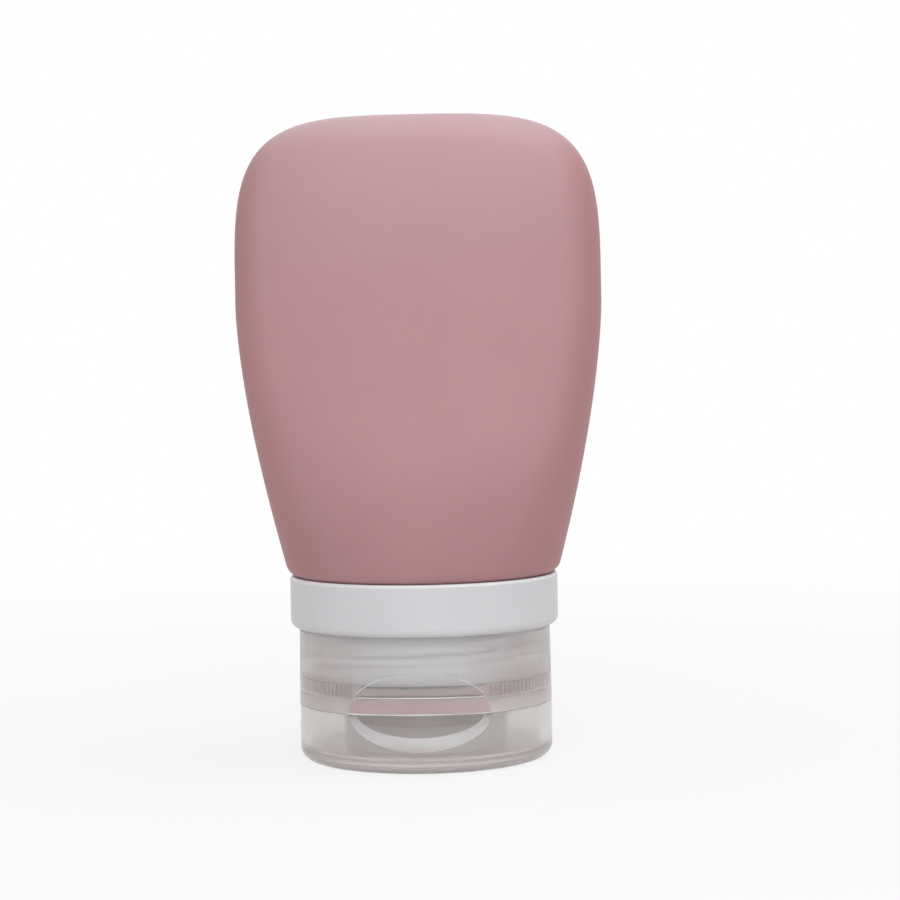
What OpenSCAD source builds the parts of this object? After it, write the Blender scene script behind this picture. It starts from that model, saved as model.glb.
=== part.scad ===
// Silicone travel bottle, standing on its closed flip cap.
// Millimetres, +Z up, origin on the bottle's axis in the plane that the lid rests on.
// The thumb notch faces -Y and the lid's hinge is at +Y.

/* [Bottle] */
// Height of the whole bottle, cap included
total_height = 101.2; // [92:0.2:125]
// Width across the widest place
body_width = 57.6; // [52:0.2:70]
// Depth from front to back at the widest place
body_depth = 36; // [30:0.5:46]
// Height of the widest place above the floor
widest_height = 71.8; // [66:0.2:80]
// How far the body stands out of the collar, where they meet
shoulder_overhang = 0.1; // [0:0.05:1]
// Rounding of the edge that sits on the collar
shoulder_edge = 1.6; // [0.8:0.1:2.2]
// How fast the flank swells from the collar, as a power
flank_power = 1.55; // [1.3:0.05:2.2]
// How square the closed end is, as a superellipse power
end_power = 4.05; // [2.6:0.05:5]
// How square the widest section is, as a superellipse power
section_power = 2.9; // [2.2:0.1:3.6]
// Thickness of the silicone wall
body_wall = 2.6; // [1.8:0.1:3.4]
// Thickness of the silicone neck
neck_wall = 2; // [1.4:0.1:2.4]
// Thickness of the lip that folds over the collar and seals on the cap
lip_thickness = 2; // [1.2:0.1:2.6]
// Length of the funnel inside the shoulder
funnel_length = 7; // [4:0.5:10]

/* [Collar] */
// How far the collar's band stands out of the cap
collar_overhang = 1.2; // [0.8:0.1:3]
// Height of the band
collar_height = 8.1; // [6:0.1:11]
// Rounding of the band's edge next to the cap
collar_edge = 1.3; // [0.5:0.1:1.6]
// Wall of the band and floor of the groove behind it
collar_wall = 1.6; // [1.2:0.1:2]
// Wall of the collar's neck
collar_neck_wall = 1.8; // [1.4:0.1:2.2]

/* [Cap] */
// Diameter of the cap at the seam between base and lid
cap_diameter = 40; // [39:0.2:41.4]
// Height of the cap's screw base between seam and collar
base_height = 11.8; // [10.5:0.1:15]
// How much narrower the base's radius is at the collar
base_draft = 0.15; // [0:0.05:0.3]
// Wall of the base where its thread runs
base_wall = 2; // [1.6:0.1:2.4]
// Thickness of the deck that closes the base
deck_thickness = 1.8; // [1.4:0.1:2.4]
// Diameter of the valve housing that stands out of the deck
housing_diameter = 26; // [22:0.5:28]
// Wall of the valve housing
housing_wall = 1.4; // [1:0.1:2]
// Height of the shallow step round the housing, above its end
step_height = 3.8; // [2:0.1:5]
// Depth of that step
housing_step = 0.2; // [0.1:0.05:0.4]
// Room between the housing's end and the lid's floor
housing_room = 0.6; // [0.3:0.1:1]
// Height of the bead that the valve's ring snaps under
snap_bead = 0.2; // [0.1:0.05:0.3]
// Diameter of the outlet in the housing's end
outlet_diameter = 10.4; // [9.8:0.2:12]

/* [Thread] */
// Rise of the cap's thread in one turn
thread_pitch = 3.2; // [2.4:0.1:4]
// Depth of the thread on the collar's neck and in the cap
thread_depth = 1.1; // [0.8:0.1:1.3]
// Width that each flank of a thread loses for each millimetre of its depth
thread_slope = 0.42; // [0.3:0.02:0.6]
// Height of the threaded length
thread_length = 7.3; // [6:0.1:7.5]

/* [Thumb scoop] */
// Half of the scoop's width, measured straight across
scoop_half_width = 11; // [8:0.2:13]
// Height of the scoop in the base above the seam
scoop_height = 6.6; // [4:0.1:7.6]
// Depth of the scoop in the base, at its middle
scoop_depth = 1.4; // [0.8:0.1:1.5]
// Height of the ledge at the scoop's foot
ledge_height = 2.7; // [1.5:0.1:3.5]
// How far the ledge stands out of the scoop's floor
ledge_depth = 0.5; // [0.2:0.1:0.8]
// Depth of the lid's notch below the seam, on the outside
notch_depth = 5.6; // [3:0.1:6.4]
// Depth of the lid's notch below the seam, on the inside
notch_inner_depth = 3.6; // [2:0.1:4.5]
// How much narrower the notch is on the inside, at each end
notch_bevel = 1; // [0.4:0.1:2]

/* [Lid] */
// Height of the lid
lid_height = 9; // [8:0.1:12]
// Wall of the lid
lid_wall = 1.5; // [1.2:0.1:2]
// Thickness of the lid's end
lid_floor = 2; // [1.4:0.1:2.6]
// Rounding of the lid's outer edge
lid_edge = 2.2; // [1:0.1:2.6]
// Outer diameter of the plug ring that closes the outlet
plug_diameter = 8.6; // [6.6:0.2:9.4]
// Wall of the plug ring
plug_wall = 1; // [0.8:0.1:1.4]

/* [Hinge] */
// How far the hinge axis lies outside the cap's wall
hinge_offset = 0.2; // [0:0.1:0.6]
// Radius of the hinge's knuckle and ears
knuckle_radius = 1.9; // [1.6:0.1:2.1]
// Radius of the pins moulded on the lid's knuckle
pin_radius = 0.9; // [0.7:0.05:1.1]
// Width of the lid's knuckle
knuckle_width = 9.8; // [7:0.2:12]
// Thickness of each of the base's ears
ear_thickness = 2.2; // [1.8:0.1:2.8]

/* [Valve] */
// Diameter of the valve's flange
valve_diameter = 18; // [15:0.5:20]
// Thickness of the valve's flange
valve_flange = 1.35; // [1:0.05:1.8]
// Diameter of the valve's head in the outlet
valve_head = 9.4; // [7:0.2:9.8]
// Thickness of the slit membrane
membrane = 0.9; // [0.6:0.05:1.2]
// Length of each slit
slit_length = 5; // [3:0.2:6]
// Width of each slit
slit_width = 0.2; // [0.1:0.05:0.3]
// Bore of the ring that holds the valve down
ring_bore = 12; // [9:0.5:14]
// Height of the ring that holds the valve down
ring_height = 2; // [1.4:0.1:2.4]

/* [Fits] */
// Gap at the seam between lid and base, and between base and collar
seam_gap = 0.1; // [0.05:0.05:0.2]
// Gap between the silicone neck and the collar's bore
soft_gap = 0.2; // [0.1:0.05:0.3]
// Gap between the cap's seal bore and the collar's neck
seal_gap = 0.3; // [0.2:0.05:0.4]
// Gap between the threads
thread_gap = 0.25; // [0.2:0.05:0.35]
// Gap round the hinge's knuckle and ears
hinge_gap = 0.25; // [0.2:0.05:0.35]
// Radial clearance of a hinge pin in its ear
pin_gap = 0.06; // [0.03:0.01:0.1]
// Radial clearance of the valve's ring in the housing
ring_gap = 0.08; // [0.03:0.01:0.1]
// Gap at which the valve, its ring and the lid's plug sit
seat_gap = 0.05; // [0.02:0.01:0.1]

/* [Hidden] */
$fn = 96;

// Small edges and steps
small_edge = 0.3;
head_recess = 0.5;

// Heights of the stack, from the floor up
seam_z = lid_height + seam_gap;
base_top_z = seam_z + base_height;
collar_z = base_top_z + seam_gap;
collar_top_z = collar_z + collar_height;
deck_z = seam_z + deck_thickness;
lip_z = deck_z + seam_gap;
lip_top_z = lip_z + lip_thickness;
thread_z = base_top_z - thread_length;
hinge_z = seam_z - seam_gap / 2;

// Radii, from the cap's outside inwards
cap_r = cap_diameter / 2;
collar_r = cap_r + collar_overhang;
shoulder_r = collar_r + shoulder_overhang;
hinge_back = cap_r + hinge_offset;
thread_root_r = cap_r - base_wall;
thread_crest_r = thread_root_r - thread_gap;
neck_r = thread_crest_r - thread_depth;
seal_bore_r = neck_r + seal_gap;
collar_bore_r = neck_r - collar_neck_wall;
silicone_neck_r = collar_bore_r - soft_gap;
mouth_r = silicone_neck_r - neck_wall;
lip_r = neck_r;

// Valve housing
housing_r = housing_diameter / 2;
housing_bore_r = housing_r - housing_wall;
housing_z = lid_floor + housing_room;
step_z = housing_z + step_height;
valve_z = housing_z + housing_wall;
valve_top_z = valve_z + seat_gap + valve_flange;
head_z = housing_z + head_recess;
plug_z = head_z - 3 * seat_gap;

// Body: half sizes and the collar end's circle
half_width = body_width / 2;
half_depth = body_depth / 2;
ring_points = 64;

function mix(a, b, t) = a + (b - a) * t;
function ease(t) = t * t * (3 - 2 * t);
function signed_power(v, p) = sign(v) * pow(abs(v), p);

// Flank between collar and widest place: 0 at the collar, 1 at the widest
function flank_t(z) = (z - collar_top_z) / (widest_height - collar_top_z);
function flank_width(z) = half_width - (half_width - shoulder_r) * pow(1 - flank_t(z), flank_power);
function flank_depth(z) = mix(shoulder_r, half_depth, ease(flank_t(z)));
function flank_shape(z) = mix(2, section_power, ease(flank_t(z)));

// One ring of the loft is [height, half width, half depth, squareness]
function round_ring(z, r) = [z, r, r, 2];
function flank_ring(z, inset) =
    [z, flank_width(z) - inset, flank_depth(z) - inset, flank_shape(z)];
function end_ring(a, inset) =
    let (rise = pow(sin(a), 2 / end_power), shrink = pow(cos(a), 2 / end_power))
    [mix(widest_height, total_height - inset, rise),
     (half_width - inset) * shrink, (half_depth - inset) * shrink, section_power];
function edge_ring(a) =
    let (z = collar_top_z + shoulder_edge * (1 - cos(a)), inset = shoulder_edge * (1 - sin(a)))
    flank_ring(z, inset);

function ring_shape(ring) = [for (i = [0 : ring_points - 1])
    let (a = 360 * i / ring_points)
    [ring[1] * signed_power(cos(a), 2 / ring[3]), ring[2] * signed_power(sin(a), 2 / ring[3]), ring[0]]];

// Rings of the body, from the closed end's outside down over the neck and lip,
// in at the mouth, and up the inside to the closed end again
flank_steps = 18;
end_steps = 14;
outside_rings = concat(
    [for (i = [1 : end_steps]) end_ring(90 * (1 - i / end_steps), 0)],
    [for (i = [1 : flank_steps])
        flank_ring(mix(widest_height, collar_top_z + shoulder_edge, i / flank_steps), 0)],
    [for (a = [67.5 : -22.5 : 0]) edge_ring(a)]);
neck_rings = [
    round_ring(collar_top_z, silicone_neck_r),
    round_ring(lip_top_z, silicone_neck_r),
    round_ring(lip_top_z, lip_r - small_edge),
    round_ring(lip_top_z - small_edge, lip_r),
    round_ring(lip_z + small_edge, lip_r),
    round_ring(lip_z, lip_r - small_edge),
    round_ring(lip_z, mouth_r + small_edge),
    round_ring(lip_z + small_edge, mouth_r)];
funnel_z = collar_top_z + lip_thickness;
funnel_steps = 4;
inside_steps = 12;
inside_rings = concat(
    [for (i = [0 : funnel_steps])
        let (t = i / funnel_steps, z = funnel_z + funnel_length * t, wide = flank_ring(z, body_wall))
        [z, mix(mouth_r, wide[1], sin(90 * t)), mix(mouth_r, wide[2], sin(90 * t)), wide[3]]],
    [for (i = [1 : inside_steps])
        flank_ring(mix(funnel_z + funnel_length, widest_height, i / inside_steps), body_wall)],
    [for (i = [1 : end_steps - 1]) end_ring(90 * i / end_steps, body_wall)]);

// The threads of neck and cap are alike, half a pitch apart, and leave thread_gap
// between their flanks
thread_steps = 48;
thread_fade = thread_steps / 8;
thread_middle = thread_pitch / 2 - thread_gap;
thread_foot = thread_middle + thread_slope * (thread_depth + thread_gap);
thread_start_z = thread_z + thread_foot / 2 + thread_gap;
thread_turns = (base_top_z - thread_foot / 2 - thread_gap - thread_start_z) / thread_pitch;

// One right-handed thread with a run-out at each end. It stands outwards from an
// upright cylinder of radius foot_r, or inwards where depth is negative, and its
// foot is sunk into the wall.
module thread(foot_r, depth) {
    out = sign(depth);
    count = round(thread_steps * thread_turns);
    corners = 4;
    function rise(i) = mix(-small_edge / 3, abs(depth), min(1, min(i, count - i) / thread_fade));
    function half_width(h) = thread_foot / 2 - thread_slope * h;
    function section(h) = [
        [foot_r - small_edge * out, -half_width(-small_edge)], [foot_r + h * out, -half_width(h)],
        [foot_r + h * out, half_width(h)], [foot_r - small_edge * out, half_width(-small_edge)]];
    points = [for (i = [0 : count]) for (p = section(rise(i)))
        let (a = 360 * i / thread_steps)
        [p[0] * cos(a), p[0] * sin(a), p[1] + thread_start_z + thread_pitch * i / thread_steps]];
    function at(i, k) = i * corners + k % corners;
    function facing(f) = out > 0 ? f : [f[2], f[1], f[0]];
    sides = [for (i = [0 : count - 1]) for (k = [0 : corners - 1])
        for (f = [[at(i, k), at(i, k + 1), at(i + 1, k + 1)],
                  [at(i, k), at(i + 1, k + 1), at(i + 1, k)]]) facing(f)];
    ends = [for (k = [1 : corners - 2])
        for (f = [[at(0, 0), at(0, k + 1), at(0, k)],
                  [at(count, 0), at(count, k), at(count, k + 1)]]) facing(f)];
    polyhedron(points, concat(sides, ends), convexity = 8);
}

// Closed skin over a list of rings of points, with a pole at each end
module skin(rings, first_pole, last_pole) {
    count = len(rings);
    last = ring_points * count + 1;
    points = concat([first_pole], [for (ring = rings) each ring], [last_pole]);
    function at(ring, i) = 1 + ring * ring_points + i % ring_points;
    faces = concat(
        [for (i = [0 : ring_points - 1]) [0, at(0, i + 1), at(0, i)]],
        [for (k = [0 : count - 2]) for (i = [0 : ring_points - 1])
            [at(k, i), at(k, i + 1), at(k + 1, i + 1)]],
        [for (k = [0 : count - 2]) for (i = [0 : ring_points - 1])
            [at(k, i), at(k + 1, i + 1), at(k + 1, i)]],
        [for (i = [0 : ring_points - 1]) [last, at(count - 1, i), at(count - 1, i + 1)]]);
    polyhedron(points, faces, convexity = 6);
}

module bottle_body() {
    color([0.74, 0.58, 0.59])
        skin([for (ring = concat(outside_rings, neck_rings, inside_rings)) ring_shape(ring)],
             [0, 0, total_height], [0, 0, total_height - body_wall]);
}

// Arc of a profile, as points from angle a to angle b
function arc(centre, r, a, b, steps = 6) =
    [for (i = [0 : steps]) centre + r * [cos(mix(a, b, i / steps)), sin(mix(a, b, i / steps))]];

module threaded_collar() {
    groove_z = collar_z + collar_wall;
    color([0.86, 0.86, 0.88]) {
        thread(neck_r, thread_depth);
        rotate_extrude()
            polygon(concat(
                [[collar_bore_r, lip_top_z], [neck_r, lip_top_z], [neck_r, collar_z]],
                arc([collar_r - collar_edge, collar_z + collar_edge], collar_edge, -90, 0),
                [[collar_r, collar_top_z - small_edge], [collar_r - small_edge, collar_top_z],
                 [collar_r - collar_wall, collar_top_z], [collar_r - collar_wall, groove_z],
                 [neck_r, groove_z], [neck_r, collar_top_z], [collar_bore_r, collar_top_z]]));
    }
}

// Outline of the thumb scoop, seen from the front, above or below the seam
scoop_points = 32;
module scoop_outline(half_w, high) {
    polygon([for (i = [0 : scoop_points - 1])
        let (a = 360 * i / scoop_points) [half_w * cos(a), high * sin(a)]]);
}

// The scoop's floor is part of a wider upright cylinder that meets the cap's
// round at the scoop's two ends
scoop_floor_y = cap_r - scoop_depth;
scoop_end_y = sqrt(pow(cap_r, 2) - pow(scoop_half_width, 2));
scoop_centre_y = (pow(cap_r, 2) - pow(scoop_floor_y, 2)) / (2 * (scoop_floor_y - scoop_end_y));

// What the thumb scoop takes out of the base, with a ledge left at its foot
module base_scoop() {
    floor_r = scoop_centre_y + scoop_floor_y;
    front_r = scoop_centre_y + cap_r;
    ledge_z = seam_z + ledge_height;
    slope_start = 0.42;
    slope_z = mix(ledge_z, seam_z + scoop_height, slope_start);
    intersection() {
        translate([0, -scoop_end_y + 1, seam_z])
            rotate([90, 0, 0])
                linear_extrude(height = cap_r)
                    scoop_outline(scoop_half_width, scoop_height);
        translate([0, scoop_centre_y, 0])
            rotate_extrude()
                polygon([
                    [front_r + 1, seam_z - 1], [floor_r + ledge_depth, seam_z - 1],
                    [floor_r + ledge_depth, ledge_z - small_edge],
                    [floor_r + ledge_depth - small_edge, ledge_z], [floor_r, ledge_z],
                    [floor_r, slope_z], [front_r, seam_z + scoop_height],
                    [front_r + 1, seam_z + scoop_height]]);
    }
}

// Shape of a hinge part across the hinge's axis, drawn in Y and Z about the axis
module on_hinge_axis(width) {
    translate([0, hinge_back, hinge_z])
        rotate([90, 0, 90])
            linear_extrude(height = width, center = true)
                children();
}

ear_x = knuckle_width / 2 + hinge_gap + ear_thickness / 2;
ear_rise = 3.4;

// Ear that carries one pin, ribbed to the wall above it
module ear() {
    on_hinge_axis(ear_thickness) {
        circle(r = knuckle_radius);
        polygon([[-knuckle_radius, 0], [0.8 * knuckle_radius, 0.5 * knuckle_radius],
                 [-0.5 * knuckle_radius, ear_rise], [-knuckle_radius - 0.5, ear_rise],
                 [-knuckle_radius - 0.5, 0.3 * knuckle_radius]]);
    }
}

module cap_base() {
    housing_edge = 0.8;
    bore_slope = 0.5;
    collar_end_r = cap_r - base_draft;
    bead_z = valve_top_z + 2 * seat_gap + ring_height;
    color([0.78, 0.75, 0.75, 0.8])
        difference() {
            union() {
                rotate_extrude()
                    polygon(concat(
                        [[cap_r, seam_z], [collar_end_r, base_top_z - small_edge],
                         [collar_end_r - small_edge, base_top_z], [thread_root_r, base_top_z],
                         [thread_root_r, thread_z], [seal_bore_r, thread_z - bore_slope],
                         [seal_bore_r, deck_z], [housing_bore_r, deck_z],
                         [housing_bore_r, bead_z + 4 * snap_bead],
                         [housing_bore_r - snap_bead, bead_z + 2 * snap_bead],
                         [housing_bore_r - snap_bead, bead_z + snap_bead],
                         [housing_bore_r, bead_z],
                         [housing_bore_r, valve_z], [outlet_diameter / 2, valve_z],
                         [outlet_diameter / 2, housing_z]],
                        arc([housing_r - housing_step - housing_edge, housing_z + housing_edge],
                            housing_edge, -90, 0),
                        [[housing_r - housing_step, step_z], [housing_r, step_z + housing_step],
                         [housing_r, seam_z]]));
                rotate(180)
                    thread(thread_root_r, -thread_depth);
                for (side = [-1, 1])
                    translate([side * ear_x, 0, 0])
                        ear();
            }
            base_scoop();
            on_hinge_axis(knuckle_width + 2 * hinge_gap)
                circle(r = knuckle_radius + hinge_gap);
            on_hinge_axis(2 * cap_r)
                circle(r = pin_radius + pin_gap);
        }
}

// The notch's outline where it meets an upright cylinder of radius r: straight
// inside, and wider from the land outwards, so that it has its full size at the
// lid's outside
notch_land_r = cap_r - lid_wall + small_edge;
function notch_ring(r) =
    let (t = max(0, (r - notch_land_r) / (cap_r - notch_land_r)),
         half_w = scoop_half_width + notch_bevel * (t - 1),
         high = mix(notch_inner_depth, notch_depth, t))
    [for (i = [0 : ring_points - 1])
        let (a = 360 * i / ring_points, x = half_w * cos(a))
        [x, -sqrt(pow(r, 2) - pow(x, 2)), seam_z + high * sin(a)]];

// What the notch takes out of the lid. It starts far enough outside that its flat
// front passes clear of the lid's round.
module lid_notch() {
    outer_r = cap_r + lid_wall;
    inner_r = cap_r - lid_wall - 1;
    skin([notch_ring(outer_r), notch_ring(notch_land_r), notch_ring(inner_r)],
         [0, -outer_r, seam_z], [0, -inner_r, seam_z]);
}

module flip_lid() {
    inner_r = cap_r - lid_wall;
    inner_edge = 0.8;
    plug_r = plug_diameter / 2;
    pin_recess = 0.4;
    pin_reach = ear_thickness + hinge_gap - pin_recess;
    web_drop = 3.2;
    color([0.88, 0.87, 0.85, 0.6]) {
        difference() {
            union() {
                rotate_extrude()
                    polygon(concat(
                        [[0, 0]],
                        arc([cap_r - lid_edge, lid_edge], lid_edge, -90, 0, 8),
                        [[cap_r, lid_height], [inner_r, lid_height]],
                        arc([inner_r - inner_edge, lid_floor + inner_edge], inner_edge, 0, -90, 4),
                        [[plug_r, lid_floor], [plug_r, plug_z - small_edge], [plug_r - small_edge, plug_z],
                         [plug_r - plug_wall, plug_z], [plug_r - plug_wall, lid_floor],
                         [0, lid_floor]]));
                on_hinge_axis(knuckle_width) {
                    circle(r = knuckle_radius);
                    polygon([[-0.5 * knuckle_radius, 0], [-0.5 * knuckle_radius, -web_drop],
                             [-hinge_offset, -web_drop],
                             [0.8 * knuckle_radius, -0.55 * knuckle_radius]]);
                }
            }
            lid_notch();
            for (side = [-1, 1])
                translate([side * ear_x, 0, 0])
                    on_hinge_axis(ear_thickness + 2 * hinge_gap)
                        circle(r = knuckle_radius + hinge_gap);
        }
        on_hinge_axis(knuckle_width + 2 * pin_reach)
            circle(r = pin_radius);
    }
}

module outlet_valve() {
    flange_r = valve_diameter / 2;
    head_r = valve_head / 2;
    under_z = valve_z + seat_gap;
    wall_r = head_r - membrane;
    dish = 0.5;
    color([0.93, 0.92, 0.92])
        difference() {
            rotate_extrude()
                polygon([
                    [0, head_z + dish], [0.7 * wall_r, head_z], [head_r - small_edge, head_z],
                    [head_r, head_z + small_edge], [head_r, under_z], [flange_r, under_z],
                    [flange_r, valve_top_z], [wall_r + small_edge, valve_top_z],
                    [wall_r, valve_top_z - small_edge], [wall_r, head_z + membrane],
                    [0.7 * wall_r, head_z + membrane], [0, head_z + dish + membrane]]);
            for (a = [0, 90])
                rotate(a)
                    translate([-slit_length / 2, -slit_width / 2, head_z - 1])
                        cube([slit_length, slit_width, membrane + dish + 2]);
        }
}

module valve_ring() {
    outer_r = housing_bore_r - ring_gap;
    foot_z = valve_top_z + seat_gap;
    color([0.85, 0.85, 0.87])
        rotate_extrude()
            polygon([
                [ring_bore / 2, foot_z], [outer_r - small_edge, foot_z],
                [outer_r, foot_z + small_edge], [outer_r, foot_z + ring_height - small_edge],
                [outer_r - small_edge, foot_z + ring_height],
                [ring_bore / 2 + small_edge, foot_z + ring_height],
                [ring_bore / 2, foot_z + ring_height - small_edge]]);
}

bottle_body();
threaded_collar();
cap_base();
flip_lid();
outlet_valve();
valve_ring();
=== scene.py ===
import math

import bmesh
import bpy
from mathutils import Matrix, Vector


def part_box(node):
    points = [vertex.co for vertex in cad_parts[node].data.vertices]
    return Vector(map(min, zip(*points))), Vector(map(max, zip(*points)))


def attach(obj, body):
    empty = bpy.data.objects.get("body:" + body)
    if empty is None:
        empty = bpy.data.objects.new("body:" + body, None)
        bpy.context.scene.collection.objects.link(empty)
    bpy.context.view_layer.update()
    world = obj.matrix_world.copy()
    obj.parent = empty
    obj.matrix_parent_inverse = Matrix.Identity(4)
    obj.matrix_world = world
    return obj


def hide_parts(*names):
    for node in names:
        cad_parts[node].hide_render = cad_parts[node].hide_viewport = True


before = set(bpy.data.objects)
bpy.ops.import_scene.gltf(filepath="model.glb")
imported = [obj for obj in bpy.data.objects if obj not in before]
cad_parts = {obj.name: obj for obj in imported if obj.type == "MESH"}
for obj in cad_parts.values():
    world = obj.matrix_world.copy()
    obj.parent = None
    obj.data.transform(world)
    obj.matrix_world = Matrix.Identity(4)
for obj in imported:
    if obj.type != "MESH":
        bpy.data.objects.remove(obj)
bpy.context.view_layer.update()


# Bottle
# The bottle is one moulding of dusty rose silicone, hollow, with a neck and a lip
# that folds over the collar's end. Its skin is drawn out ring by ring, from the
# closed end over the flanks, the neck and the lip, and back up the inside.

MM = 0.001
X, Z = 0, 2
LOWEST, HIGHEST = 0, 1


def reach(node, end, axis):
    """How far a solid reaches along an axis, in millimetres."""
    return round(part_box(node)[end][axis] / MM, 2)


HEIGHT = reach("bottle_body", HIGHEST, Z)
HALF_WIDTH = reach("bottle_body", HIGHEST, X)
HALF_DEPTH = 18.0
WIDEST = 71.8
COLLAR_TOP = reach("threaded_collar", HIGHEST, Z)
SHOULDER = 21.3
SHOULDER_EDGE = 1.6
SHOULDER_TURN = 15
FLANK_POWER = 1.55
END_POWER = 4.05
SECTION_POWER = 2.9
ROUND_POWER = 2
WALL = 2.6
NECK = 14.65
MOUTH = 12.65
MOUTH_EDGE = 0.4
LIP = 16.65
LIP_EDGE = 0.3
LIP_FOOT = reach("bottle_body", LOWEST, Z)
LIP_TOP = reach("threaded_collar", LOWEST, Z)
FUNNEL_RISE = 2
FUNNEL_HEIGHT = 7
POINTS_AROUND = 96
END_STEPS = 26
FLANK_STEPS = 32
FUNNEL_STEPS = 6
INNER_STEPS = 14
CRISP_EDGE = math.radians(40)
SPOT_STOPS = 0.35, 0.65

# The lip is painted lighter than the rest: painted light, standing in for the light that reaches it
# through the cap.
LIT_LIP_TONE = (0.80, 0.56, 0.57)
LIP_FADE = 14, 16
# The foot is painted darker and the upper part lighter, painted shade and painted light from the
# lamps above; the end is lighter still, a painted highlight.
SHADED_FOOT_TONES = (0.44, 0.235, 0.25), (0.47, 0.25, 0.265)
MIDDLE_TONES = (0.545, 0.30, 0.32), (0.575, 0.32, 0.34)
MIDDLE_FADE = 25, 56
LIT_UPPER_TONE = (0.565, 0.34, 0.36)
UPPER_FADE = 65, 92
END_HIGHLIGHT_TONE = (0.60, 0.41, 0.425)
END_FADE = 95, 101
# Faces that look sideways are painted darker and redder: painted shade at the rims.
SHADED_SIDE_TONE = (0.475, 0.22, 0.22)


def deselect():
    if bpy.context.object and bpy.context.object.mode != "OBJECT":
        bpy.ops.object.mode_set(mode="OBJECT")
    bpy.ops.object.select_all(action="DESELECT")


def blend(a, b, t):
    return a + (b - a) * t


def flank_ring(z, inset):
    """Height, half width, half depth and squareness of a ring below the widest place."""
    t = (z - COLLAR_TOP) / (WIDEST - COLLAR_TOP)
    s = t * t * (3 - 2 * t)
    wide = HALF_WIDTH - (HALF_WIDTH - SHOULDER) * (1 - t) ** FLANK_POWER
    deep = blend(SHOULDER, HALF_DEPTH, s)
    return [z, wide - inset, deep - inset, blend(ROUND_POWER, SECTION_POWER, s)]


def end_ring(angle, inset):
    """The same of a ring above the widest place, up to the domed end."""
    rise = math.sin(angle) ** (2 / END_POWER)
    shrink = math.cos(angle) ** (2 / END_POWER)
    return [blend(WIDEST, HEIGHT - inset, rise), (HALF_WIDTH - inset) * shrink,
            (HALF_DEPTH - inset) * shrink, SECTION_POWER]


def body_rings():
    rings = [end_ring(math.radians(90 * (1 - i / END_STEPS)), 0) for i in range(1, END_STEPS)]
    foot = COLLAR_TOP + SHOULDER_EDGE
    rings += [flank_ring(blend(WIDEST, foot, i / FLANK_STEPS), 0) for i in range(FLANK_STEPS + 1)]
    for turn in range(90 - SHOULDER_TURN, -1, -SHOULDER_TURN):
        a = math.radians(turn)
        rings.append(flank_ring(COLLAR_TOP + SHOULDER_EDGE * (1 - math.cos(a)),
                                SHOULDER_EDGE * (1 - math.sin(a))))
    rings += [[z, r, r, ROUND_POWER] for z, r in (
        (COLLAR_TOP, NECK), (LIP_TOP, NECK),
        (LIP_TOP, LIP - LIP_EDGE), (LIP_TOP - LIP_EDGE, LIP),
        (LIP_FOOT + LIP_EDGE, LIP), (LIP_FOOT, LIP - LIP_EDGE),
        (LIP_FOOT, MOUTH + MOUTH_EDGE), (LIP_FOOT + MOUTH_EDGE, MOUTH))]
    funnel = COLLAR_TOP + FUNNEL_RISE
    for i in range(FUNNEL_STEPS + 1):
        z, wide, deep, square = flank_ring(funnel + FUNNEL_HEIGHT * i / FUNNEL_STEPS, WALL)
        t = math.sin(math.pi / 2 * i / FUNNEL_STEPS)
        rings.append([z, blend(MOUTH, wide, t), blend(MOUTH, deep, t), square])
    rings += [flank_ring(blend(funnel + FUNNEL_HEIGHT, WIDEST, i / INNER_STEPS), WALL)
              for i in range(1, INNER_STEPS + 1)]
    rings += [end_ring(math.radians(90 * i / INNER_STEPS), WALL) for i in range(1, INNER_STEPS)]
    return rings


def ring_point(ring, angle):
    z, wide, deep, square = ring
    c, s = math.cos(angle), math.sin(angle)
    x = wide * math.copysign(abs(c) ** (2 / square), c)
    y = deep * math.copysign(abs(s) ** (2 / square), s)
    return Vector((x, y, z)) * MM


def close_to_point():
    """Draws the open ring together to one point in its middle."""
    bpy.ops.mesh.extrude_region_move()
    bpy.ops.mesh.merge(type="CENTER")


def loft(name, rings, points, place):
    """Draws a closed skin ring by ring, and closes both ends to a point."""
    deselect()
    bpy.ops.mesh.primitive_circle_add(vertices=points, radius=1, fill_type="NOTHING")
    obj = bpy.context.object
    obj.name = obj.data.name = name
    bpy.ops.object.mode_set(mode="EDIT")
    mesh = bmesh.from_edit_mesh(obj.data)
    mark = mesh.verts.layers.float.new("around")
    for v in mesh.verts:
        v[mark] = math.atan2(v.co.y, v.co.x)
        v.co = place(rings[0], v[mark])
    bmesh.update_edit_mesh(obj.data)
    close_to_point()
    bpy.ops.mesh.select_non_manifold(extend=False, use_wire=False, use_boundary=True,
                                     use_multi_face=False, use_non_contiguous=False,
                                     use_verts=False)
    for ring in rings[1:]:
        bpy.ops.mesh.extrude_region_move()
        mesh = bmesh.from_edit_mesh(obj.data)
        mark = mesh.verts.layers.float["around"]
        for v in mesh.verts:
            if v.select:
                v.co = place(ring, v[mark])
        bmesh.update_edit_mesh(obj.data)
    close_to_point()
    bpy.ops.mesh.select_all(action="SELECT")
    bpy.ops.mesh.normals_make_consistent(inside=False)
    bpy.ops.object.mode_set(mode="OBJECT")
    bpy.ops.object.shade_smooth_by_angle(angle=CRISP_EDGE)
    return obj


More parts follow.
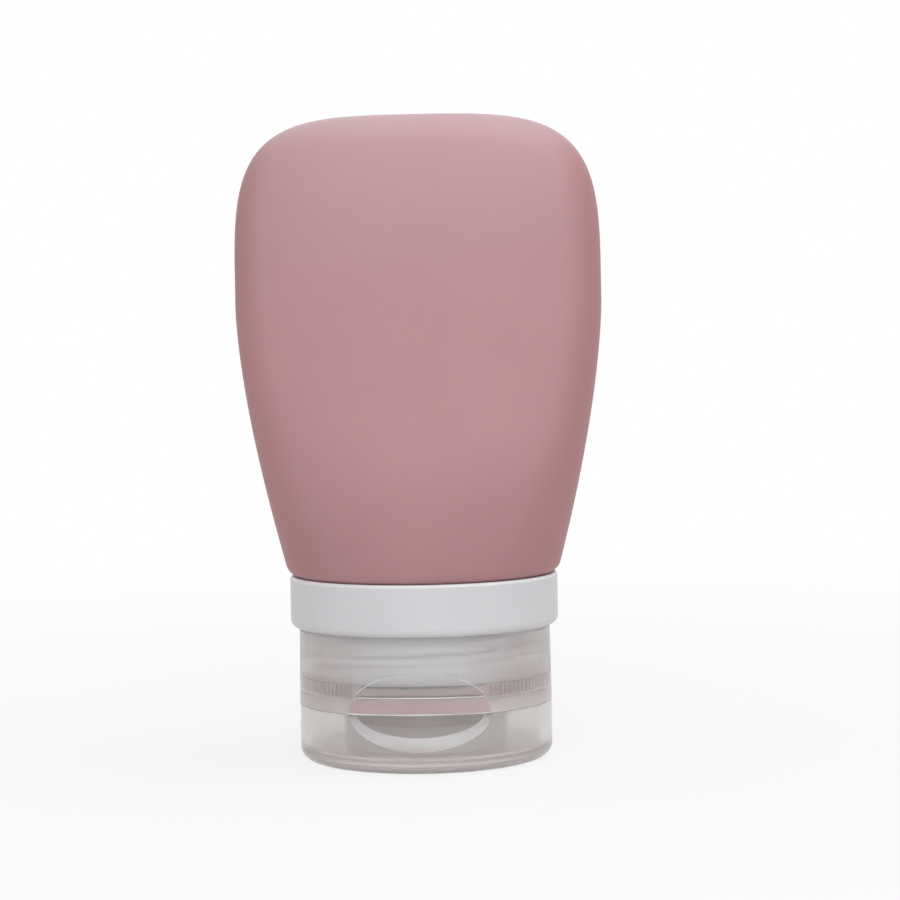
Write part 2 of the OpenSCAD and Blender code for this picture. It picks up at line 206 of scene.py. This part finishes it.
class Finish:
    """A material made up in short steps, each of which adds the shader nodes it needs."""

    def __init__(self, name, **all_over):
        self.material = bpy.data.materials.new(name)
        self.material.use_nodes = True
        self.tree = self.material.node_tree
        self.shader = self.tree.nodes["Principled BSDF"]
        for socket, value in all_over.items():
            self.shader.inputs[socket.replace("_", " ")].default_value = value
        self.coords = self.node("TexCoord")

    def node(self, kind, **values):
        node = self.tree.nodes.new("ShaderNode" + kind)
        for socket, value in values.items():
            node.inputs[socket.replace("_", " ")].default_value = value
        return node

    def link(self, source, socket):
        self.tree.links.new(source, socket)

    def drive(self, socket, source):
        """Lets a step's result drive one of the material's own sockets."""
        self.link(source, self.shader.inputs[socket])

    def mottle(self, scale, detail=2):
        """Soft spots from 0 to 1, smaller where the scale is larger."""
        noise = self.node("TexNoise", Scale=scale, Detail=detail)
        self.link(self.coords.outputs["Object"], noise.inputs["Vector"])
        return noise.outputs["Fac"]

    def tones(self, pair, scale, detail=2):
        """Two near tones of a colour, in soft spots."""
        ramp = self.node("ValToRGB")
        for stop, spot, tone in zip(ramp.color_ramp.elements, SPOT_STOPS, pair):
            stop.position = spot
            stop.color = (*tone, 1)
        self.link(self.mottle(scale, detail), ramp.inputs["Fac"])
        return ramp.outputs["Color"]

    def spread(self, source, low, high):
        """Stretches 0 to 1 over the range from low to high."""
        spread = self.node("MapRange", To_Min=low, To_Max=high)
        self.link(source, spread.inputs["Value"])
        return spread.outputs["Result"]

    def soft_step(self, source, start, end):
        step = self.node("MapRange", From_Min=start, From_Max=end)
        step.interpolation_type = "SMOOTHSTEP"
        self.link(source, step.inputs["Value"])
        return step.outputs["Result"]

    def facing_sideways(self, start, end):
        """0 on faces that look to the front or back, 1 on those that look to the sides."""
        parts = self.node("SeparateXYZ")
        size = self.node("Math")
        size.operation = "ABSOLUTE"
        self.link(self.coords.outputs["Normal"], parts.inputs["Vector"])
        self.link(parts.outputs["X"], size.inputs[0])
        return self.soft_step(size.outputs["Value"], start, end)

    def above(self, low, high):
        """0 below the first height and 1 above the second, both in millimetres."""
        parts = self.node("SeparateXYZ")
        self.link(self.coords.outputs["Object"], parts.inputs["Vector"])
        return self.soft_step(parts.outputs["Z"], low * MM, high * MM)

    def mix(self, share, a, b):
        """The first where the share is 0, the second where it is 1."""
        mix = self.node("Mix")
        mix.data_type = "RGBA"
        self.link(share, mix.inputs["Factor"])
        for name, value in (("A", a), ("B", b)):
            socket = [i for i in mix.inputs if i.name == name and i.type == "RGBA"][0]
            if isinstance(value, tuple):
                socket.default_value = (*value, 1)
            else:
                self.link(value, socket)
        return [o for o in mix.outputs if o.type == "RGBA"][0]

    def grain(self, scale, strength, depth, detail=2):
        """A fine relief, its depth in millimetres."""
        bump = self.node("Bump", Strength=strength, Distance=depth * MM)
        self.link(self.mottle(scale, detail), bump.inputs["Height"])
        self.drive("Normal", bump.outputs["Normal"])


body = loft("silicone_bottle", body_rings(), POINTS_AROUND, ring_point)

rose = Finish("rose_silicone", Specular_IOR_Level=0.35, Subsurface_Weight=0.5,
              Subsurface_Scale=0.003, Subsurface_Radius=(1.0, 0.4, 0.35))
# Painted shade at the foot, painted light on the upper part and a painted highlight on the end,
# over the silicone's mottled tone.
rose_front = rose.mix(rose.above(*MIDDLE_FADE), rose.tones(SHADED_FOOT_TONES, scale=60, detail=3),
                      rose.tones(MIDDLE_TONES, scale=45, detail=3))
rose_front = rose.mix(rose.above(*UPPER_FADE), rose_front, LIT_UPPER_TONE)
rose_front = rose.mix(rose.above(*END_FADE), rose_front, END_HIGHLIGHT_TONE)
# Painted light: below its fade the lip takes a lighter tone.
rose_front = rose.mix(rose.above(*LIP_FADE), LIT_LIP_TONE, rose_front)
# Painted shade: darker and redder towards the faces that look sideways.
rose.drive("Base Color", rose.mix(rose.facing_sideways(start=0.5, end=1.0), rose_front, SHADED_SIDE_TONE))
rose.drive("Roughness", rose.spread(rose.mottle(scale=900), low=0.5, high=0.6))
rose.grain(scale=3500, strength=0.12, depth=0.05, detail=3)
body.data.materials.append(rose.material)
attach(body, "bottle")
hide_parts("bottle_body")


# Collar
# The collar is one moulding of satin white polypropylene. Its band shows between
# bottle and cap, and its neck stands inside the cap and carries the thread.

# The neck is painted lighter than the band, though both are one moulding: painted light, standing
# in for the light that reaches the neck through the cap.
LIT_NECK_TONE = (0.9, 0.89, 0.9)
BAND_FOOT_FADE = 19, 21
BAND_TONES = (0.69, 0.685, 0.71), (0.72, 0.715, 0.74)
# The band's sideways faces are painted lighter than its front: painted light.
LIT_BAND_SIDE_TONE = (0.72, 0.71, 0.735)
# A painted highlight lightens the band's top edge.
BAND_TOP_HIGHLIGHT_TONE = (0.92, 0.92, 0.93)
BAND_TOP_FADE = 28.5, 28.9
PLASTIC_IOR = 1.49


def dress(node, finish):
    """Gives a solid of the frame its finish, and leaves its shape as it is."""
    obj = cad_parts[node]
    obj.data.materials.clear()
    obj.data.materials.append(finish.material)


white = Finish("white_satin_plastic", IOR=PLASTIC_IOR, Subsurface_Weight=0.1,
               Subsurface_Scale=0.001)
# Painted light: the band lighter towards its sides.
white_band = white.mix(white.facing_sideways(start=0.1, end=0.9),
                       white.tones(BAND_TONES, scale=60), LIT_BAND_SIDE_TONE)
# Painted highlight along the band's top edge.
white_band = white.mix(white.above(*BAND_TOP_FADE), white_band, BAND_TOP_HIGHLIGHT_TONE)
# Below the band's foot the neck takes its painted light tone.
white.drive("Base Color", white.mix(white.above(*BAND_FOOT_FADE), LIT_NECK_TONE, white_band))
white.drive("Roughness", white.spread(white.mottle(scale=1200), low=0.32, high=0.42))
white.grain(scale=2500, strength=0.05, depth=0.03)
dress("threaded_collar", white)


# Cap base
# The base screws onto the collar. It is moulded of natural polypropylene with a
# frosted face, so the thread and the pink lip show through it as soft bands. A
# smoother belt, level with the lip, lets the ribs behind it show sharply.

WALL_TONES = (0.95, 0.94, 0.945), (0.97, 0.96, 0.965)
# The base's sideways faces are painted darker and pinker: painted shade.
SHADED_WALL_SIDE_TONE = (0.94, 0.88, 0.875)
# The base's foot, by the deck, is painted pinker: painted light, the pink of the lip carried into
# the deck.
LIP_GLOW_WALL_FOOT_TONE = (0.95, 0.87, 0.865)
WALL_FOOT_FADE = 10.6, 11.6
WALL_CLEAR_FADE = 10.2, 12.0
BELT_FOOT_FADE = 11.1, 11.3
BELT_TOP_FADE = 13.5, 13.7
BELT_HAZE = (0.21, 0.21, 0.21)
HAZE = {"low": 0.285, "high": 0.34}

frosted = Finish("frosted_plastic", IOR=PLASTIC_IOR)
# Painted shade: the wall darker and pinker towards its sides.
frosted_wall = frosted.mix(frosted.facing_sideways(start=0.25, end=0.85),
                           frosted.tones(WALL_TONES, scale=80), SHADED_WALL_SIDE_TONE)
# Painted light: the pink of the lip on the wall's foot.
frosted.drive("Base Color", frosted.mix(frosted.above(*WALL_FOOT_FADE), LIP_GLOW_WALL_FOOT_TONE,
                                        frosted_wall))
frosted_haze = frosted.spread(frosted.mottle(scale=300), **HAZE)
frosted_belt = frosted.mix(frosted.above(*BELT_TOP_FADE), BELT_HAZE, frosted_haze)
frosted.drive("Roughness", frosted.mix(frosted.above(*BELT_FOOT_FADE), frosted_haze, frosted_belt))
frosted.drive("Transmission Weight", frosted.spread(frosted.above(*WALL_CLEAR_FADE),
                                                    low=0.45, high=0.8))
frosted.grain(scale=2500, strength=0.03, depth=0.01)
dress("cap_base", frosted)


# Rims of the thumb scoop
# The mould leaves fine rounded edges where the scoop is sunk into the base: over
# its arch, along the ledge at its foot, and where the ledge meets the seam. They
# are polished, and their near-white colour is a painted highlight, so they show as thin light
# lines.

CAP_R = reach("cap_base", HIGHEST, X)
BASE_TOP = reach("cap_base", HIGHEST, Z)
SEAM = 9.1
DRAFT = 0.15
SCOOP_HALF_WIDTH = 11.0
SCOOP_HEIGHT = 6.6
SCOOP_DEPTH = 1.4
SCOOP_MARGIN = 0.1
LEDGE_HEIGHT = 2.7
LEDGE_DEPTH = 0.5
LEDGE_STEPS = 40
ARCH_START = 3
ARCH_STEPS = 60
RIM = 0.095
RIM_POINTS = 8
ARCH_SINK = 0.05
ARCH_FINE = 0.12
ARCH_SWELL = 0.75
ARCH_FOOT = 0.8
ARCH_FOOT_FALL = 4
LEDGE_RIM_DROP = 0.1
LEDGE_RIM_SINK = 0.08
LEDGE_RIM_FINE = 0.7
LEDGE_RIM_SWELL = 0.4
FOOT_RIM_RISE = 0.08
FOOT_RIM_SINK = 0.02
FOOT_RIM_FULL = 1.1
FOOT_RIM_SWELL = 0.3
FOOT_RIM_FALL = 0.4
# The rims' near-white tone is a painted highlight.
EDGE_HIGHLIGHT_TONES = (0.93, 0.92, 0.92), (0.96, 0.95, 0.95)

scoop_end = math.sqrt(CAP_R ** 2 - SCOOP_HALF_WIDTH ** 2)
scoop_floor = CAP_R - SCOOP_DEPTH
scoop_centre = (CAP_R ** 2 - scoop_floor ** 2) / (2 * (scoop_floor - scoop_end))
ledge_r = scoop_centre + scoop_floor + LEDGE_DEPTH


def base_wall(x, z):
    """Where the base's drafted wall lies, in front of a point."""
    r = CAP_R - DRAFT * (z - SEAM) / (BASE_TOP - SEAM)
    return -math.sqrt(r * r - x * x)


def scoop_reach(z):
    """Half of the scoop's width at a height, short of its rim."""
    return SCOOP_HALF_WIDTH * math.sqrt(1 - ((z - SEAM) / SCOOP_HEIGHT) ** 2) - SCOOP_MARGIN


def ledge_front(x, z, inset):
    """A point on the front of the ledge, or on the wall beside it where that lies further back."""
    front = scoop_centre - math.sqrt((ledge_r - inset) ** 2 - x * x)
    return Vector((x, max(front, base_wall(x, z) + inset), z))


def ledge_path(z, inset):
    return [ledge_front(scoop_reach(z) * (2 * i / LEDGE_STEPS - 1), z, inset)
            for i in range(LEDGE_STEPS + 1)]


def arch_path():
    angles = [math.radians(ARCH_START + (180 - 2 * ARCH_START) * i / ARCH_STEPS)
              for i in range(ARCH_STEPS + 1)]
    arch = [(SCOOP_HALF_WIDTH * math.cos(a), SEAM + SCOOP_HEIGHT * math.sin(a)) for a in angles]
    return [Vector((x, base_wall(x, z) + ARCH_SINK, z)) for x, z in arch]


def arch_thickness(t):
    """Full at the right foot, fine at the crown and the left foot, fuller on the shoulders."""
    foot = ARCH_FOOT - ARCH_FOOT_FALL * t
    return RIM * max(foot, ARCH_FINE + ARCH_SWELL * math.sin(2 * math.pi * t) ** 2)


def ledge_thickness(t):
    """Fullest in the middle."""
    return RIM * (LEDGE_RIM_FINE + LEDGE_RIM_SWELL * math.sin(math.pi * t))


def foot_thickness(t):
    """Full at the ends and in the middle, and a little finer towards the right."""
    swell = FOOT_RIM_SWELL * math.cos(2 * math.pi * t) ** 2
    return RIM * (FOOT_RIM_FULL + swell - FOOT_RIM_FALL * t)


def bead_point(section, angle):
    middle, out, side, radius = section
    return (middle + radius * (math.cos(angle) * out + math.sin(angle) * side)) * MM


def bead(name, path, thickness):
    """A fine rounded rim along a path, half sunk in the edge that it follows."""
    last = len(path) - 1
    sections = []
    for i, p in enumerate(path):
        ahead = (path[min(i + 1, last)] - path[max(i - 1, 0)]).normalized()
        side = ahead.cross(Vector((p.x, p.y, 0)).normalized()).normalized()
        sections.append((p, side.cross(ahead).normalized(), side, thickness(i / last)))
    return loft(name, sections, RIM_POINTS, bead_point)


# Painted highlight: near-white and almost opaque, brighter than the base's own plastic.
edge = Finish("rounded_edge_painted_highlight", IOR=PLASTIC_IOR, Transmission_Weight=0.15)
edge.drive("Base Color", edge.tones(EDGE_HIGHLIGHT_TONES, scale=90))
edge.drive("Roughness", edge.spread(edge.mottle(scale=300), low=0.06, high=0.12))

ledge_rim_path = ledge_path(SEAM + LEDGE_HEIGHT - LEDGE_RIM_DROP, LEDGE_RIM_SINK)
foot_rim_path = ledge_path(SEAM + FOOT_RIM_RISE, FOOT_RIM_SINK)
for name, path, thickness in (("scoop_rim", arch_path(), arch_thickness),
                              ("scoop_ledge_rim", ledge_rim_path, ledge_thickness),
                              ("scoop_foot_rim", foot_rim_path, foot_thickness)):
    rim = bead(name, path, thickness)
    rim.data.materials.append(edge.material)
    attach(rim, "cap")


# Skin of the valve housing
# The housing stands out below the base's deck, inside the closed lid, and is of the
# same moulding. Its face is cloudier than the wall, and its pale tone is also painted
# light that lifts the shade under the deck, so it shows through the lid as a pale
# block. The skin is drawn up from its rounded end to the deck.

HOUSING_R = 12.84
HOUSING_FOOT_R = 13.04
HOUSING_END = [(2.12, 12.35), (2.3, 12.55), (2.6, 12.7), (3.0, 12.8)]
HOUSING_WALL = [(3.4, HOUSING_R), (6.42, HOUSING_R), (6.62, HOUSING_FOOT_R), (9.08, HOUSING_FOOT_R)]
HOUSING_SKIN = 0.1
# Pale tone: the cloudy plastic, lightened with painted light under the deck's shade.
CLOUDY_AND_LIT_TONES = (0.955, 0.92, 0.905), (0.98, 0.945, 0.93)

housing_rings = HOUSING_END + HOUSING_WALL
first_height, first_radius = housing_rings[0]
deselect()
bpy.ops.mesh.primitive_circle_add(vertices=POINTS_AROUND, radius=first_radius * MM,
                                  location=(0, 0, first_height * MM), fill_type="NOTHING")
housing = bpy.context.object
housing.name = housing.data.name = "valve_housing_skin"
bpy.ops.object.transform_apply(location=True, rotation=True, scale=True)
bpy.ops.object.mode_set(mode="EDIT")
for (z_before, r_before), (z, r) in zip(housing_rings, housing_rings[1:]):
    rise = (0, 0, (z - z_before) * MM)
    bpy.ops.mesh.extrude_region_move(TRANSFORM_OT_translate={"value": rise})
    bpy.ops.transform.resize(value=(r / r_before, r / r_before, 1), center_override=(0, 0, 0))
bpy.ops.mesh.select_all(action="SELECT")
bpy.ops.mesh.normals_make_consistent(inside=False)
bpy.ops.object.mode_set(mode="OBJECT")
wall = housing.modifiers.new("wall", "SOLIDIFY")
wall.thickness = HOUSING_SKIN * MM
wall.offset = -1
bpy.ops.object.modifier_apply(modifier=wall.name)
bpy.ops.object.shade_smooth_by_angle(angle=CRISP_EDGE)

cloudy_lit = Finish("cloudy_plastic_painted_light", IOR=PLASTIC_IOR, Transmission_Weight=0.3)
cloudy_lit.drive("Base Color", cloudy_lit.tones(CLOUDY_AND_LIT_TONES, scale=120))
cloudy_lit.drive("Roughness", cloudy_lit.spread(cloudy_lit.mottle(scale=300), **HAZE))
housing.data.materials.append(cloudy_lit.material)
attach(housing, "cap")


# Face of the scoop's ledge
# The ledge closes the scoop's foot, where the thumb reaches the lid's edge. It is
# solid plastic of the base, and the pink of its upright face is painted: it stands for
# the pink lip seen through it.

LEDGE_FOOT_GAP = 0.05
LEDGE_HEAD_GAP = 0.3
LEDGE_COLUMNS = 80
LEDGE_ROWS = 4
LEDGE_PROUD = 0.05
FACE_SKIN = 0.04
# Painted light: the pink of the lip, seen through the ledge, painted onto its face.
LIP_GLOW_TONES = (0.94, 0.81, 0.825), (0.91, 0.74, 0.755)


def face_skin(name, columns, rows, place):
    """A thin skin over part of a wall, each point placed by its share across and up."""
    deselect()
    bpy.ops.mesh.primitive_grid_add(x_subdivisions=columns, y_subdivisions=rows, size=1)
    face = bpy.context.object
    face.name = face.data.name = name
    for v in face.data.vertices:
        v.co = place(v.co.x + 0.5, v.co.y + 0.5) * MM
    wall = face.modifiers.new("wall", "SOLIDIFY")
    wall.thickness = FACE_SKIN * MM
    bpy.ops.object.modifier_apply(modifier=wall.name)
    bpy.ops.object.shade_smooth_by_angle(angle=CRISP_EDGE)
    return face


def ledge_point(across, up):
    z = blend(SEAM + LEDGE_FOOT_GAP, SEAM + LEDGE_HEIGHT - LEDGE_HEAD_GAP, up)
    return ledge_front(2 * (across - 0.5) * scoop_reach(z), z, -LEDGE_PROUD)


ledge_face = face_skin("scoop_ledge_face", LEDGE_COLUMNS, LEDGE_ROWS, ledge_point)

lip_glow = Finish("painted_lip_glow_plastic", IOR=PLASTIC_IOR, Transmission_Weight=0.7)
lip_glow.drive("Base Color", lip_glow.tones(LIP_GLOW_TONES, scale=180))
lip_glow.drive("Roughness", lip_glow.spread(lip_glow.mottle(scale=300), **HAZE))
ledge_face.data.materials.append(lip_glow.material)
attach(ledge_face, "cap")


# Ribs of the cap's bore
# Fine upright ribs inside the base, on both sides of the scoop, grip the bottle's
# lip. They are moulded with the base, and their darker tone is painted shade of the
# gaps between them. One rib is made, and copied round the bore.

RIBS = 120
RIB_R = 17.0
RIB_DEPTH = 0.4
RIB_WIDTH = 0.3
RIB_LOW = 11.5
RIB_HIGH = 13.6
RIB_EDGE = 0.07
RIB_EDGE_STEPS = 2
RIB_REACH = 0.6
# Painted shade: the ribs' darker tone.
RIB_GAP_SHADE_TONES = (0.60, 0.52, 0.52), (0.64, 0.56, 0.56)

deselect()
bpy.ops.mesh.primitive_cube_add(size=1, location=(0, -RIB_R * MM, (RIB_LOW + RIB_HIGH) / 2 * MM),
                                scale=(RIB_WIDTH * MM, RIB_DEPTH * MM, (RIB_HIGH - RIB_LOW) * MM))
first_rib = bpy.context.object
bpy.ops.object.transform_apply(location=True, rotation=True, scale=True)
bpy.ops.object.mode_set(mode="EDIT")
bpy.ops.mesh.select_all(action="SELECT")
bpy.ops.mesh.bevel(offset=RIB_EDGE * MM, segments=RIB_EDGE_STEPS)
bpy.ops.object.mode_set(mode="OBJECT")
bpy.ops.object.shade_smooth_by_angle(angle=CRISP_EDGE)
deselect()
copies = []
for i in range(RIBS):
    turn = 2 * math.pi * (i + 0.5) / RIBS
    if abs(math.sin(turn)) >= RIB_REACH:
        rib = first_rib.copy()
        rib.data = first_rib.data.copy()
        rib.rotation_euler = (0, 0, turn)
        bpy.context.collection.objects.link(rib)
        rib.select_set(True)
        copies.append(rib)
bpy.context.view_layer.objects.active = copies[0]
bpy.data.objects.remove(first_rib)
bpy.ops.object.join()
ribs = bpy.context.object
ribs.name = ribs.data.name = "seal_ribs"
bpy.ops.object.transform_apply(location=True, rotation=True, scale=True)

rib_shade = Finish("rib_painted_shade")
rib_shade.drive("Base Color", rib_shade.tones(RIB_GAP_SHADE_TONES, scale=300))
rib_shade.drive("Roughness", rib_shade.spread(rib_shade.mottle(scale=300), low=0.4, high=0.5))
ribs.data.materials.append(rib_shade.material)
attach(ribs, "cap")


# Crease and groove behind the scoop
# A crease runs along the back of the ledge, and a groove in the bore holds the
# bottle's lip. Dark beads laid along both are painted shadow: they stand for the
# shade in these hollows, and show as dark lines.

CREASE_RISE = 0.16
CREASE_SINK = 0.12
CREASE_THICKNESS = 0.03
GROOVE_R = 17.2
GROOVE_Z = 13.2
GROOVE_START = -30
GROOVE_TURN = 54
GROOVE_STEPS = 30
GROOVE_FINE = 0.14
GROOVE_SWELL = 0.14
# Painted shadow: the dark tone of the crease and groove lines.
SHADOW_TONES = (0.17, 0.13, 0.14), (0.21, 0.17, 0.18)


def groove_path():
    angles = [math.radians(GROOVE_START + GROOVE_TURN * i / GROOVE_STEPS)
              for i in range(GROOVE_STEPS + 1)]
    return [Vector((GROOVE_R * math.sin(a), -GROOVE_R * math.cos(a), GROOVE_Z)) for a in angles]


def crease_thickness(t):
    """The same all along."""
    return CREASE_THICKNESS


def groove_thickness(t):
    """Finer towards the right."""
    return GROOVE_FINE + GROOVE_SWELL * (1 - t)


# Painted shadow, laid as dark beads.
shadow = Finish("groove_painted_shadow")
shadow.drive("Base Color", shadow.tones(SHADOW_TONES, scale=300))
shadow.drive("Roughness", shadow.spread(shadow.mottle(scale=300), low=0.4, high=0.5))

crease_path = ledge_path(SEAM + LEDGE_HEIGHT + CREASE_RISE, CREASE_SINK)
for name, path, thickness in (("scoop_ledge_crease_shadow", crease_path, crease_thickness),
                              ("lip_groove_shadow", groove_path(), groove_thickness)):
    line = bead(name, path, thickness)
    line.data.materials.append(shadow.material)
    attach(line, "cap")


# Lid
# The lid is moulded of clear polypropylene, a little warm in tone, and swings on
# two pins in the base's ears. Its wall is polished and its thick foot is hazier.

# The foot is painted in a pinker tone than the wall: painted light over the floor's shade seen
# through it.
LIT_LID_FOOT_TONE = (0.87, 0.81, 0.80)
LID_FOOT_FADE = 2.4, 4.4
LID_TONES = (0.90, 0.885, 0.865), (0.915, 0.90, 0.88)
LID_POLISH_FADE = 1.5, 3.5
LID_CLEAR_FADE = 0.8, 2.4

clear = Finish("clear_plastic", IOR=PLASTIC_IOR)
# Painted light on the lid's foot.
clear.drive("Base Color", clear.mix(clear.above(*LID_FOOT_FADE), LIT_LID_FOOT_TONE,
                                    clear.tones(LID_TONES, scale=70)))
clear.drive("Roughness", clear.spread(clear.above(*LID_POLISH_FADE), low=0.26, high=0.12))
clear.drive("Transmission Weight", clear.spread(clear.above(*LID_CLEAR_FADE), low=0.66, high=0.83))
clear.grain(scale=200, strength=0.04, depth=0.05)
dress("flip_lid", clear)


# Inner rim of the lid's notch
# The thumb notch is cut into the lid's wall with a broad bevel round it. The rim
# is the fine rounded edge where that bevel ends on the inside of the wall.

NOTCH_DEPTH = 5.6
NOTCH_INNER_DEPTH = 3.6
NOTCH_INNER_HALF_WIDTH = 10.0
NOTCH_INNER_R = 18.8
NOTCH_RIM_FINE = 0.8
NOTCH_RIM_SWELL = 0.9


def notch_path(r, half_width, depth):
    path = []
    for i in range(ARCH_STEPS + 1):
        a = math.radians(180 + ARCH_START + (180 - 2 * ARCH_START) * i / ARCH_STEPS)
        x = half_width * math.cos(a)
        path.append(Vector((x, -math.sqrt(r ** 2 - x * x), SEAM + depth * math.sin(a))))
    return path


def notch_thickness(t):
    """Fullest at both ends, finest at the bottom of the notch."""
    return RIM * (NOTCH_RIM_FINE + NOTCH_RIM_SWELL * math.cos(math.pi * t) ** 2)


# The notch's rim has the same painted highlight.
notch_rim = bead("notch_inner_rim", notch_path(NOTCH_INNER_R, NOTCH_INNER_HALF_WIDTH,
                                               NOTCH_INNER_DEPTH), notch_thickness)
notch_rim.data.materials.append(edge.material)
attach(notch_rim, "lid")


# Bevel of the lid's notch
# The bevel is left as the mould makes it, finely matt, so it shows as a pale
# crescent on the clear wall. Its pale tone, fading towards the outer edge, is also
# painted light catching on the slope. Its skin lies just above the solid's own facets.

LAND_LIFT = 0.09
LAND_ROWS = 2
# Matt finish and painted light: pale at the top of the bevel, fading towards its outer edge.
LAND_FOOT_TONE = (0.87, 0.82, 0.81)
MATT_LIT_LAND_TONES = (0.89, 0.88, 0.89), (0.92, 0.91, 0.92)
LAND_FADE = 3.6, 5.0

land_outer = notch_path(CAP_R, SCOOP_HALF_WIDTH - LAND_LIFT, NOTCH_DEPTH - LAND_LIFT)
land_inner = notch_path(NOTCH_INNER_R + LAND_LIFT, NOTCH_INNER_HALF_WIDTH,
                        NOTCH_INNER_DEPTH - LAND_LIFT)


def land_point(across, up):
    i = round(across * ARCH_STEPS)
    return land_outer[i].lerp(land_inner[i], up)


land = face_skin("notch_land_face", ARCH_STEPS, LAND_ROWS, land_point)

hazy_lit = Finish("hazy_plastic_painted_light", IOR=PLASTIC_IOR)
hazy_lit.drive("Base Color", hazy_lit.mix(hazy_lit.above(*LAND_FADE), LAND_FOOT_TONE,
                                  hazy_lit.tones(MATT_LIT_LAND_TONES, scale=180)))
hazy_lit.drive("Roughness", hazy_lit.spread(hazy_lit.mottle(scale=300), **HAZE))
hazy_lit.drive("Transmission Weight", hazy_lit.spread(hazy_lit.above(*LAND_FADE), low=0.84, high=0.58))
land.data.materials.append(hazy_lit.material)
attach(land, "lid")


# Valve
# A thin slit valve of natural silicone closes the outlet. It lies in the end of the
# housing, and a white ring that snaps under a bead holds its rim down.

SILICONE_IOR = 1.41
MILKY_TONES = (0.86, 0.85, 0.84), (0.9, 0.89, 0.88)

milky = Finish("milky_silicone", IOR=SILICONE_IOR, Transmission_Weight=0.4)
milky.drive("Base Color", milky.tones(MILKY_TONES, scale=200))
milky.drive("Roughness", milky.spread(milky.mottle(scale=900), low=0.35, high=0.45))
milky.grain(scale=3000, strength=0.08, depth=0.03)
dress("outlet_valve", milky)
# The ring takes the collar's finish, and so at its height the neck's painted light tone.
dress("valve_ring", white)


# Studio floor
# The bottle stands on a wide sheet of pale matt paper. The camera sees it as white,
# a little greyer near the bottle, and it keeps the bottle's soft shadow.

FLOOR_WIDTH = 6.0
FLOOR_SQUARES = 4
FLOOR_DROP = 0.00005
PAPER_TONE = (0.8, 0.8, 0.8, 1)

deselect()
bpy.ops.mesh.primitive_grid_add(x_subdivisions=FLOOR_SQUARES, y_subdivisions=FLOOR_SQUARES,
                                size=FLOOR_WIDTH, location=(0, 0, -FLOOR_DROP))
floor = bpy.context.object
floor.name = floor.data.name = "studio_floor"
bpy.ops.object.transform_apply(location=True, rotation=True, scale=True)


def background_ray(tree):
    """1 for rays of the camera and those that gloss or clear plastic passes on."""
    path = tree.nodes.new("ShaderNodeLightPath")
    total = path.outputs["Is Camera Ray"]
    for name in ("Is Glossy Ray", "Is Transmission Ray"):
        more = tree.nodes.new("ShaderNodeMath")
        more.operation = "MAXIMUM"
        tree.links.new(total, more.inputs[0])
        tree.links.new(path.outputs[name], more.inputs[1])
        total = more.outputs["Value"]
    return total


paper = Finish("white_paper", Roughness=0.9, Base_Color=PAPER_TONE, Specular_IOR_Level=0.0)
distance = paper.node("VectorMath")
distance.operation = "LENGTH"
fade = paper.node("MapRange", From_Min=0.03, From_Max=0.35, To_Min=0.82, To_Max=1.0)
white_share = paper.node("Math")
white_share.operation = "MULTIPLY"
glow = paper.node("Emission", Strength=1.0)
either = paper.node("MixShader")
paper.link(paper.coords.outputs["Object"], distance.inputs[0])
paper.link(distance.outputs["Value"], fade.inputs["Value"])
paper.link(background_ray(paper.tree), white_share.inputs[0])
paper.link(fade.outputs["Result"], white_share.inputs[1])
paper.link(white_share.outputs["Value"], either.inputs["Fac"])
paper.link(paper.shader.outputs["BSDF"], either.inputs[1])
paper.link(glow.outputs["Emission"], either.inputs[2])
paper.link(either.outputs["Shader"], paper.tree.nodes["Material Output"].inputs["Surface"])
floor.data.materials.append(paper.material)


# Studio light
# A weak light comes from all round, from a background that itself looks white. Two
# softboxes add to it: one in front of the bottle, and one over it to the right.

WHITE = (1, 1, 1, 1)
ROOM_LIGHT = 0.48
BACKGROUND = 1.0

world = bpy.data.worlds.new("studio")
world.use_nodes = True
bpy.context.scene.world = world
room = world.node_tree
soft = room.nodes["Background"]
bright = room.nodes.new("ShaderNodeBackground")
for light, strength in ((soft, ROOM_LIGHT), (bright, BACKGROUND)):
    light.inputs["Color"].default_value = WHITE
    light.inputs["Strength"].default_value = strength
either = room.nodes.new("ShaderNodeMixShader")
room.links.new(background_ray(room), either.inputs["Fac"])
room.links.new(soft.outputs["Background"], either.inputs[1])
room.links.new(bright.outputs["Background"], either.inputs[2])
room.links.new(either.outputs["Shader"], room.nodes["World Output"].inputs["Surface"])


def softbox(name, place, target, side, power):
    """A square lamp, all in metres and watts."""
    light = bpy.data.lights.new(name, "AREA")
    light.shape = "SQUARE"
    light.size = side
    light.energy = power
    obj = bpy.data.objects.new(name, light)
    bpy.context.scene.collection.objects.link(obj)
    aim = (Vector(target) - Vector(place)).normalized()
    obj.matrix_world = Matrix.Translation(place) @ aim.to_track_quat("-Z", "Y").to_matrix().to_4x4()


softbox("front_softbox", place=(0.02, -0.58, 0.36), target=(0, 0, 0.07), side=0.4, power=1.45)
softbox("top_softbox", place=(0.25, -0.05, 0.72), target=(0, 0, 0.06), side=0.5, power=1.5)


# Camera
# The camera stands close in front, a little round the bottle, and looks slightly
# down on it. It is rolled by a degree, because the picture is tilted by that much.

LENS = 101
SENSOR = 36
NEAR = 0.01
CAMERA_PLACE = (0.0045, -0.40, 0.066)
ORBIT = math.radians(2.5)
LEVEL = math.radians(90)
LOOK_DOWN = math.radians(2.5)
ROLL = math.radians(-1.0)

camera = bpy.data.cameras.new("camera")
camera.lens = LENS
camera.sensor_width = SENSOR
camera.clip_start = NEAR
viewer = bpy.data.objects.new("camera", camera)
bpy.context.scene.collection.objects.link(viewer)
viewer.matrix_world = (Matrix.Rotation(ORBIT, 4, "Z") @ Matrix.Translation(CAMERA_PLACE)
                       @ Matrix.Rotation(LEVEL - LOOK_DOWN, 4, "X") @ Matrix.Rotation(ROLL, 4, "Z"))
bpy.context.scene.camera = viewer
bpy.context.scene.view_settings.view_transform = "Standard"
